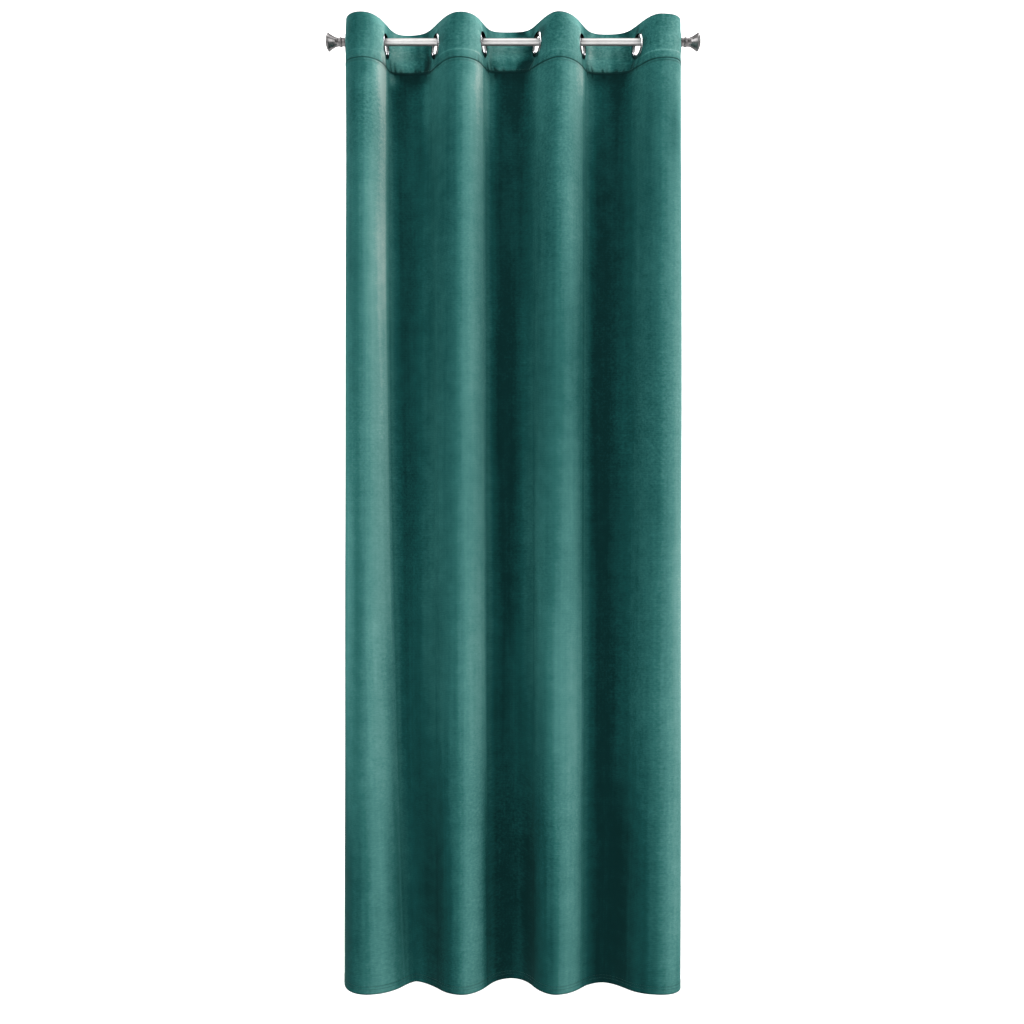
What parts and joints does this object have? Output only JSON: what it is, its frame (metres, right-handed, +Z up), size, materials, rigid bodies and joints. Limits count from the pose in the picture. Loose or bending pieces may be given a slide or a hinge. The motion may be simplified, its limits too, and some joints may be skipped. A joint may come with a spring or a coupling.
{
  "type": "blackout eyelet curtain on a rod",
  "caption": "Teal velvet blackout curtain panel that hangs in soft upright folds from metal eyelets, threaded on a straight rod with a flared finial at each end.",
  "frame": {"origin": "on the rod's axis, midway between the two finials", "axes": "+X along the rod to the right, seen from the room; -Y towards the room; +Z up"},
  "size_m": [0.9768, 0.135, 2.5],
  "materials": {
    "velvet": "short-pile velvet with a soft sheen",
    "eyelet_metal": "polished",
    "rod_metal": "satin",
    "finial_metal": "polished pewter tone"
  },
  "bodies": {
    "root": {"curtain_panel": "velvet", "header_strip": "velvet", "eyelet_1": "eyelet_metal", "eyelet_2": "eyelet_metal", "eyelet_3": "eyelet_metal", "eyelet_4": "eyelet_metal", "eyelet_5": "eyelet_metal", "eyelet_6": "eyelet_metal", "eyelet_7": "eyelet_metal", "eyelet_8": "eyelet_metal", "rod": "rod_metal", "finial_left": "finial_metal", "finial_right": "finial_metal"}
  },
  "joints": []
}
